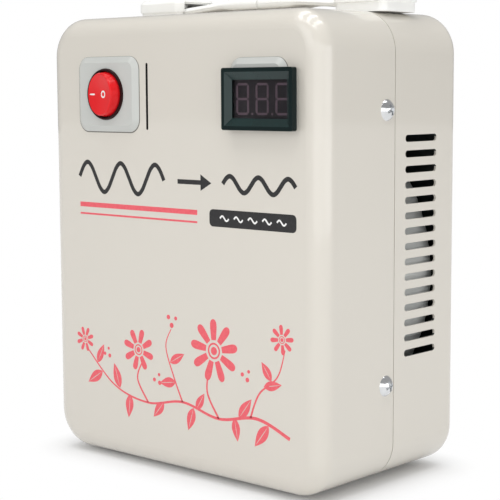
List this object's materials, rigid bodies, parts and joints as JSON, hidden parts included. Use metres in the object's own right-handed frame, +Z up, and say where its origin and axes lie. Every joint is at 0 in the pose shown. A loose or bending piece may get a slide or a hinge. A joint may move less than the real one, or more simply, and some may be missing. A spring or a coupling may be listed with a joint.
{
  "type": "step-down power transformer",
  "caption": "Free-standing step-down transformer in a cream two-shell case with a red rocker switch, panel voltmeter, side vents, strap handle, rear outlets and reset button.",
  "frame": {"origin": "on the floor under the middle of the whole part's box", "axes": "+Z up, the front face with the switch looks towards -Y, +X to the viewer's right"},
  "size_m": [0.2018, 0.1388, 0.2545],
  "materials": {
    "cream_paint": "gloss",
    "chrome_screw": "polished",
    "steel": "zinc plated",
    "black_rubber": "matte",
    "grey_plastic": "satin",
    "black_plastic": "satin",
    "red_plastic": "gloss",
    "brass": "bare",
    "smoked_window": "clear, smoked",
    "segment_plastic": "unlit",
    "circuit_board": "solder mask",
    "white_plastic": "satin",
    "core_steel": "wound strip",
    "winding_wire": "copper coloured enamel",
    "wrap_film": "polyester film",
    "strap_plastic": "soft plastic",
    "cap_plastic": "satin",
    "wire_black": "insulation",
    "wire_brown": "insulation",
    "wire_blue": "insulation",
    "wire_red": "insulation"
  },
  "bodies": {
    "case": {"front_shell": "cream_paint", "rear_shell": "cream_paint", "side_screws": "chrome_screw", "side_nuts": "steel", "rubber_foot_front_left": "black_rubber", "rubber_foot_front_right": "black_rubber", "rubber_foot_rear_left": "black_rubber", "rubber_foot_rear_right": "black_rubber", "switch_plate": "grey_plastic", "meter_plate": "grey_plastic", "switch_housing": "black_plastic", "switch_pivot_pin": "steel", "switch_terminals": "brass", "meter_housing": "black_plastic", "meter_lens": "smoked_window", "meter_display": "black_plastic", "meter_segments": "segment_plastic", "meter_board": "circuit_board", "meter_connector": "white_plastic", "outlet_left": "black_plastic", "outlet_right": "black_plastic", "outlet_left_contacts": "brass", "outlet_right_contacts": "brass", "breaker_body": "black_plastic", "breaker_nut": "black_plastic", "breaker_terminals": "brass", "cord_gland": "black_plastic", "gland_dome_nut": "black_plastic", "gland_seal": "black_rubber", "gland_locknut": "black_plastic", "transformer_core": "core_steel", "transformer_winding": "winding_wire", "transformer_tape": "wrap_film", "transformer_pad_front": "black_rubber", "transformer_pad_rear": "black_rubber", "clamp_washer": "steel", "centre_bolt": "steel", "centre_nut": "steel", "bracket": "steel", "bracket_screws": "steel", "bracket_nuts": "steel", "handle_cap_left": "cap_plastic", "handle_cap_right": "cap_plastic", "handle_base_left": "cap_plastic", "handle_base_right": "cap_plastic", "handle_screws": "chrome_screw", "handle_backing_plate": "steel", "handle_nuts": "steel", "wires_switch": "wire_black", "wires_live": "wire_brown", "wires_neutral": "wire_blue", "wires_meter": "wire_red"},
    "rocker": {"switch_rocker": "red_plastic", "switch_plunger": "steel"},
    "contact_lever": {"switch_lever": "brass"},
    "reset_button": {"breaker_button": "red_plastic"},
    "grip": {"handle_grip": "strap_plastic"},
    "strap_left": {"handle_link_left": "strap_plastic"},
    "strap_right": {"handle_link_right": "strap_plastic"}
  },
  "joints": [
    {"name": "rocker_tilt", "type": "hinge", "parent": "case", "child": "rocker", "pos_m": [-0.0495, -0.0608, 0.2013], "axis": [0, 0, 1], "range_deg": [0, 20]},
    {"name": "lever_tilt", "type": "hinge", "parent": "case", "child": "contact_lever", "pos_m": [-0.0495, -0.0502, 0.2013], "axis": [0, 0, 1], "range_deg": [-23, 0]},
    {"name": "reset_press", "type": "slide", "parent": "case", "child": "reset_button", "axis": [0, -1, 0], "range_m": [0, 0.003], "stiffness_N_per_m": 500, "springref_m": -0.002},
    {"name": "handle_lift", "type": "slide", "parent": "case", "child": "grip", "axis": [0, 0, 1], "range_m": [0, 0.017]},
    {"name": "strap_left_bend", "type": "hinge", "parent": "grip", "child": "strap_left", "pos_m": [-0.02653, 0.0139, 0.2501], "axis": [0, -1, 0], "range_deg": [0, 26.54]},
    {"name": "strap_right_bend", "type": "hinge", "parent": "grip", "child": "strap_right", "pos_m": [0.02653, 0.0139, 0.2501], "axis": [0, 1, 0], "range_deg": [0, 26.54]}
  ],
  "couplings": [
    {"joint": "lever_tilt", "follows": "rocker_tilt", "ratio": -1},
    {"joint": "strap_left_bend", "follows": "handle_lift", "rad_per_m": 27.195},
    {"joint": "strap_right_bend", "follows": "handle_lift", "rad_per_m": 27.195}
  ]
}
